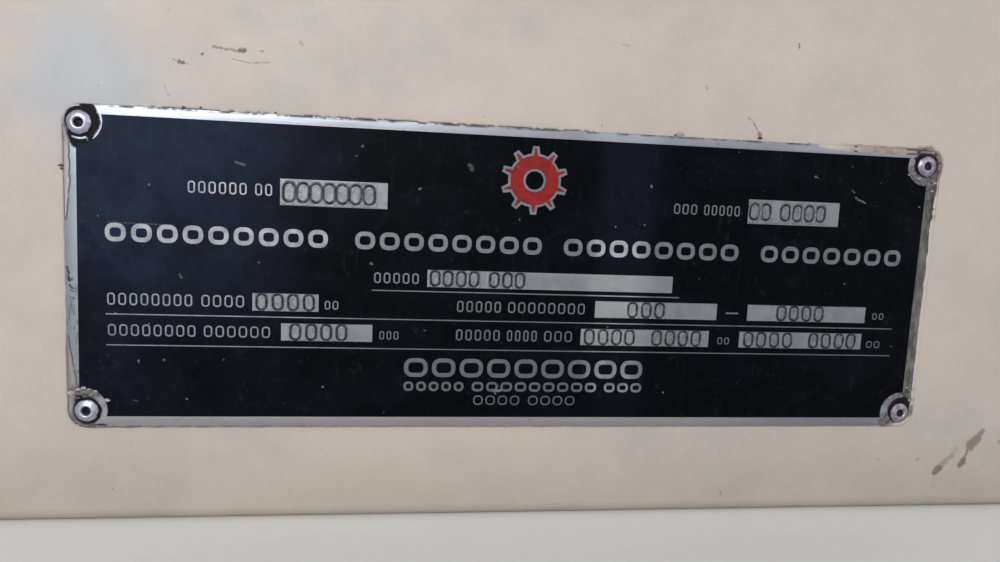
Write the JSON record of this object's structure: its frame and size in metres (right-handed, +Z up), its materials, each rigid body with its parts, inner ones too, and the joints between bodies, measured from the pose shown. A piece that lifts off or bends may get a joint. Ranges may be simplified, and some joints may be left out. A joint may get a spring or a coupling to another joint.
{
  "type": "machine data plate on a cover panel",
  "caption": "Black and bare aluminium data plate with raised border, value fields and rules, held by set blind rivets on a cream painted, folded steel cover panel.",
  "frame": {"origin": "middle of the panel's footprint, on the surface it stands on", "axes": "+X along the plate to the right of someone who faces it, +Y from the plate into the panel, +Z up"},
  "size_m": [0.4, 0.042, 0.22],
  "materials": {
    "panel_paint": "satin cream paint, aged and scuffed",
    "plate_metal": "bare etched aluminium, dulled",
    "plate_enamel": "near-black enamel in the etched field",
    "mark_red": "red enamel inside the cog's outline",
    "rivet_metal": "satin, greasy",
    "mandrel_steel": "dark, broken end"
  },
  "bodies": {
    "root": {"cover_panel": "panel_paint", "data_plate": "plate_metal", "rivet_top_left": "rivet_metal", "rivet_top_right": "rivet_metal", "rivet_bottom_left": "rivet_metal", "rivet_bottom_right": "rivet_metal", "mandrel_top_left": "mandrel_steel", "mandrel_top_right": "mandrel_steel", "mandrel_bottom_left": "mandrel_steel", "mandrel_bottom_right": "mandrel_steel"}
  },
  "joints": []
}
